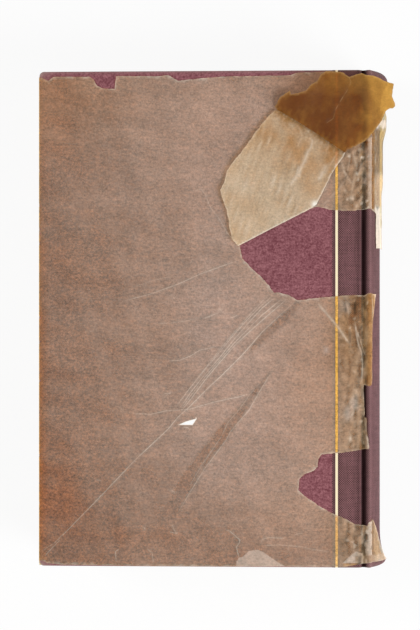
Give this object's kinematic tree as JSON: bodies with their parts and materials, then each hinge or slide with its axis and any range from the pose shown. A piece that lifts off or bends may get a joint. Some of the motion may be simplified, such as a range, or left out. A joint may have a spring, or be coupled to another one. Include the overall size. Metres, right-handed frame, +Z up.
{
  "type": "hardback book",
  "caption": "Quarter-bound hardback book with rounded spine, French grooves and two hinged covers, in a torn translucent glassine wrapper.",
  "frame": {"origin": "centre of the front cover's outer face, on which the closed book lies, midway between the fore edge and the joint and between head and tail", "axes": "+X towards the spine, +Y towards the head, +Z up through the book to the back cover"},
  "size_m": [0.1589, 0.222, 0.0438],
  "materials": {
    "leaves": "uncoated book paper, toned",
    "lining_paper": "kraft paper",
    "headband": "striped cotton",
    "endpaper": "uncoated endpaper, toned",
    "card": "stiff card",
    "board": "solid greyboard",
    "book_cloth": "plain woven book cloth",
    "gilt_foil": "blocked foil",
    "side_paper": "matt maroon paper",
    "gauze": "open cotton gauze",
    "glassine": "browned translucent glassine",
    "glassine_tongue": "browned translucent glassine"
  },
  "bodies": {
    "book_block": {"text_block": "leaves", "spine_lining": "lining_paper", "head_band": "headband", "tail_band": "headband", "front_flyleaf": "endpaper", "back_flyleaf": "endpaper", "spine_card": "card", "spine_cloth": "book_cloth", "wrapper_head_scrap": "glassine", "wrapper_tail_scrap": "glassine"},
    "back_cover": {"back_board": "board", "back_cloth": "book_cloth", "back_gilt_rule": "gilt_foil", "back_side_paper": "side_paper", "back_hinge_gauze": "gauze", "back_pastedown": "endpaper", "wrapper_back": "glassine", "wrapper_tongue": "glassine_tongue"},
    "front_cover": {"front_board": "board", "front_cloth": "book_cloth", "front_gilt_rule": "gilt_foil", "front_side_paper": "side_paper", "front_hinge_gauze": "gauze", "front_pastedown": "endpaper", "wrapper_front": "glassine"}
  },
  "joints": [
    {"name": "back_cover_hinge", "type": "hinge", "parent": "book_block", "child": "back_cover", "pos_m": [0.074, 0, 0.03512], "axis": [0, 1, 0], "range_deg": [0, 180], "deforming": ["wrapper_tongue"]},
    {"name": "front_cover_hinge", "type": "hinge", "parent": "book_block", "child": "front_cover", "pos_m": [0.074, 0, 0.00042], "axis": [0, -1, 0], "range_deg": [0, 180]}
  ]
}
